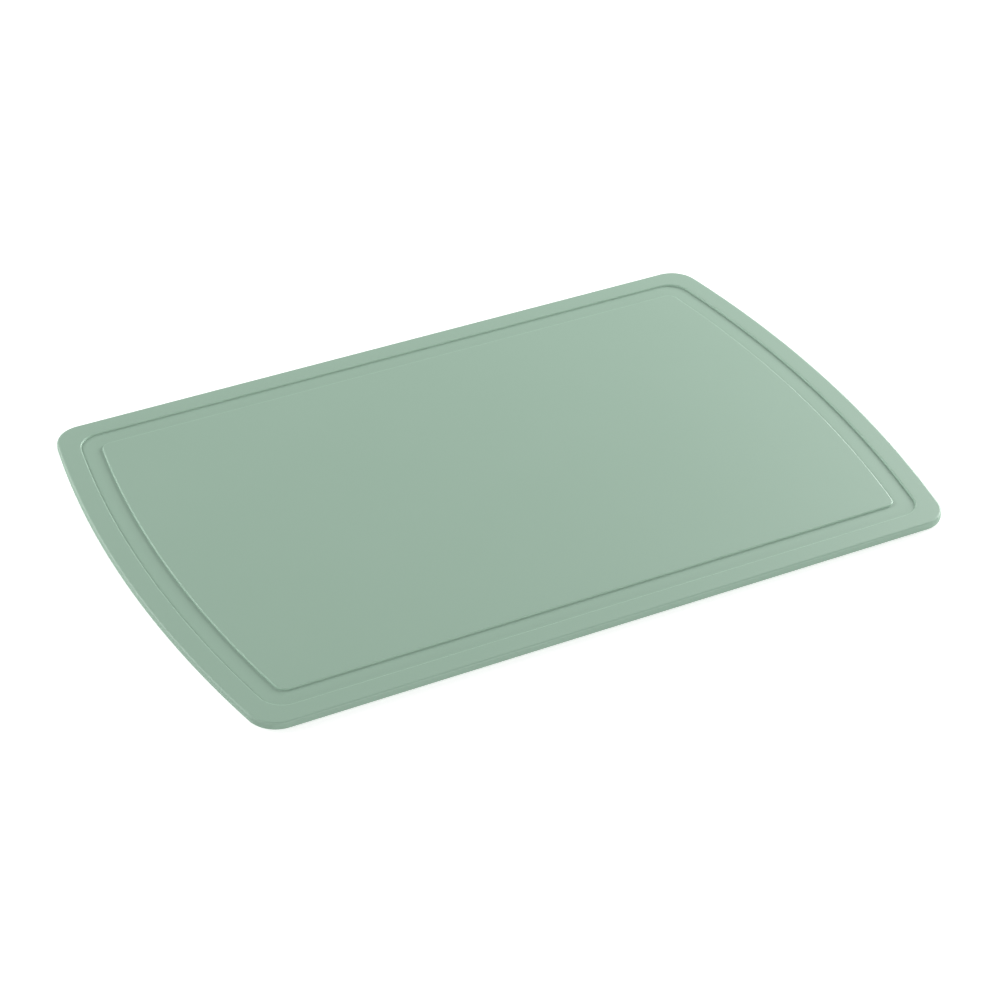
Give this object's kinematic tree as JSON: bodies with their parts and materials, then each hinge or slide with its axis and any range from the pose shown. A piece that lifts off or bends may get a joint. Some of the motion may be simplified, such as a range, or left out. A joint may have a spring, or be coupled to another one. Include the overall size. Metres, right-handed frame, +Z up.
{
  "type": "flexible cutting mat",
  "caption": "Flexible cutting mat with a raised panel, a juice groove and bowed short ends; its long sides curl up into a chute.",
  "frame": {"origin": "middle of the underside, on the surface that the mat lies on", "axes": "+X along the mat towards one bowed end, +Y across it towards the back long side, +Z up out of the cutting face"},
  "size_m": [0.38, 0.252, 0.004],
  "materials": {
    "mat": "matt, finely grained thermoplastic polyurethane in one sage green right through"
  },
  "bodies": {
    "centre": {"centre_strip": "mat"},
    "front_1": {"front_strip_1": "mat"},
    "front_2": {"front_strip_2": "mat"},
    "front_3": {"front_strip_3": "mat"},
    "front_4": {"front_strip_4": "mat"},
    "front_5": {"front_strip_5": "mat"},
    "front_6": {"front_strip_6": "mat"},
    "front_7": {"front_strip_7": "mat"},
    "front_8": {"front_strip_8": "mat"},
    "front_9": {"front_strip_9": "mat"},
    "front_rim": {"front_rim_strip": "mat"},
    "back_1": {"back_strip_1": "mat"},
    "back_2": {"back_strip_2": "mat"},
    "back_3": {"back_strip_3": "mat"},
    "back_4": {"back_strip_4": "mat"},
    "back_5": {"back_strip_5": "mat"},
    "back_6": {"back_strip_6": "mat"},
    "back_7": {"back_strip_7": "mat"},
    "back_8": {"back_strip_8": "mat"},
    "back_9": {"back_strip_9": "mat"},
    "back_rim": {"back_rim_strip": "mat"}
  },
  "joints": [
    {"name": "front_curl", "type": "hinge", "parent": "centre", "child": "front_1", "pos_m": [0, -0.00525, 0.004], "axis": [-1, 0, 0], "range_deg": [0, 9], "stiffness_Nm_per_rad": 4},
    {"name": "front_curl_2", "type": "hinge", "parent": "front_1", "child": "front_2", "pos_m": [0, -0.01575, 0.004], "axis": [-1, 0, 0], "range_deg": [0, 9], "stiffness_Nm_per_rad": 4},
    {"name": "front_curl_3", "type": "hinge", "parent": "front_2", "child": "front_3", "pos_m": [0, -0.02625, 0.004], "axis": [-1, 0, 0], "range_deg": [0, 9], "stiffness_Nm_per_rad": 4},
    {"name": "front_curl_4", "type": "hinge", "parent": "front_3", "child": "front_4", "pos_m": [0, -0.03675, 0.004], "axis": [-1, 0, 0], "range_deg": [0, 9], "stiffness_Nm_per_rad": 4},
    {"name": "front_curl_5", "type": "hinge", "parent": "front_4", "child": "front_5", "pos_m": [0, -0.04725, 0.004], "axis": [-1, 0, 0], "range_deg": [0, 9], "stiffness_Nm_per_rad": 4},
    {"name": "front_curl_6", "type": "hinge", "parent": "front_5", "child": "front_6", "pos_m": [0, -0.05775, 0.004], "axis": [-1, 0, 0], "range_deg": [0, 9], "stiffness_Nm_per_rad": 4},
    {"name": "front_curl_7", "type": "hinge", "parent": "front_6", "child": "front_7", "pos_m": [0, -0.06825, 0.004], "axis": [-1, 0, 0], "range_deg": [0, 9], "stiffness_Nm_per_rad": 4},
    {"name": "front_curl_8", "type": "hinge", "parent": "front_7", "child": "front_8", "pos_m": [0, -0.07875, 0.004], "axis": [-1, 0, 0], "range_deg": [0, 9], "stiffness_Nm_per_rad": 4},
    {"name": "front_curl_9", "type": "hinge", "parent": "front_8", "child": "front_9", "pos_m": [0, -0.08925, 0.004], "axis": [-1, 0, 0], "range_deg": [0, 9], "stiffness_Nm_per_rad": 4},
    {"name": "front_curl_10", "type": "hinge", "parent": "front_9", "child": "front_rim", "pos_m": [0, -0.09975, 0.004], "axis": [-1, 0, 0], "range_deg": [0, 9], "stiffness_Nm_per_rad": 4},
    {"name": "back_curl", "type": "hinge", "parent": "centre", "child": "back_1", "pos_m": [0, 0.00525, 0.004], "axis": [1, 0, 0], "range_deg": [0, 9], "stiffness_Nm_per_rad": 4},
    {"name": "back_curl_2", "type": "hinge", "parent": "back_1", "child": "back_2", "pos_m": [0, 0.01575, 0.004], "axis": [1, 0, 0], "range_deg": [0, 9], "stiffness_Nm_per_rad": 4},
    {"name": "back_curl_3", "type": "hinge", "parent": "back_2", "child": "back_3", "pos_m": [0, 0.02625, 0.004], "axis": [1, 0, 0], "range_deg": [0, 9], "stiffness_Nm_per_rad": 4},
    {"name": "back_curl_4", "type": "hinge", "parent": "back_3", "child": "back_4", "pos_m": [0, 0.03675, 0.004], "axis": [1, 0, 0], "range_deg": [0, 9], "stiffness_Nm_per_rad": 4},
    {"name": "back_curl_5", "type": "hinge", "parent": "back_4", "child": "back_5", "pos_m": [0, 0.04725, 0.004], "axis": [1, 0, 0], "range_deg": [0, 9], "stiffness_Nm_per_rad": 4},
    {"name": "back_curl_6", "type": "hinge", "parent": "back_5", "child": "back_6", "pos_m": [0, 0.05775, 0.004], "axis": [1, 0, 0], "range_deg": [0, 9], "stiffness_Nm_per_rad": 4},
    {"name": "back_curl_7", "type": "hinge", "parent": "back_6", "child": "back_7", "pos_m": [0, 0.06825, 0.004], "axis": [1, 0, 0], "range_deg": [0, 9], "stiffness_Nm_per_rad": 4},
    {"name": "back_curl_8", "type": "hinge", "parent": "back_7", "child": "back_8", "pos_m": [0, 0.07875, 0.004], "axis": [1, 0, 0], "range_deg": [0, 9], "stiffness_Nm_per_rad": 4},
    {"name": "back_curl_9", "type": "hinge", "parent": "back_8", "child": "back_9", "pos_m": [0, 0.08925, 0.004], "axis": [1, 0, 0], "range_deg": [0, 9], "stiffness_Nm_per_rad": 4},
    {"name": "back_curl_10", "type": "hinge", "parent": "back_9", "child": "back_rim", "pos_m": [0, 0.09975, 0.004], "axis": [1, 0, 0], "range_deg": [0, 9], "stiffness_Nm_per_rad": 4}
  ],
  "couplings": [
    {"joint": "front_curl_2", "follows": "front_curl", "ratio": 1},
    {"joint": "front_curl_3", "follows": "front_curl", "ratio": 1},
    {"joint": "front_curl_4", "follows": "front_curl", "ratio": 1},
    {"joint": "front_curl_5", "follows": "front_curl", "ratio": 1},
    {"joint": "front_curl_6", "follows": "front_curl", "ratio": 1},
    {"joint": "front_curl_7", "follows": "front_curl", "ratio": 1},
    {"joint": "front_curl_8", "follows": "front_curl", "ratio": 1},
    {"joint": "front_curl_9", "follows": "front_curl", "ratio": 1},
    {"joint": "front_curl_10", "follows": "front_curl", "ratio": 1},
    {"joint": "back_curl_2", "follows": "back_curl", "ratio": 1},
    {"joint": "back_curl_3", "follows": "back_curl", "ratio": 1},
    {"joint": "back_curl_4", "follows": "back_curl", "ratio": 1},
    {"joint": "back_curl_5", "follows": "back_curl", "ratio": 1},
    {"joint": "back_curl_6", "follows": "back_curl", "ratio": 1},
    {"joint": "back_curl_7", "follows": "back_curl", "ratio": 1},
    {"joint": "back_curl_8", "follows": "back_curl", "ratio": 1},
    {"joint": "back_curl_9", "follows": "back_curl", "ratio": 1},
    {"joint": "back_curl_10", "follows": "back_curl", "ratio": 1}
  ]
}
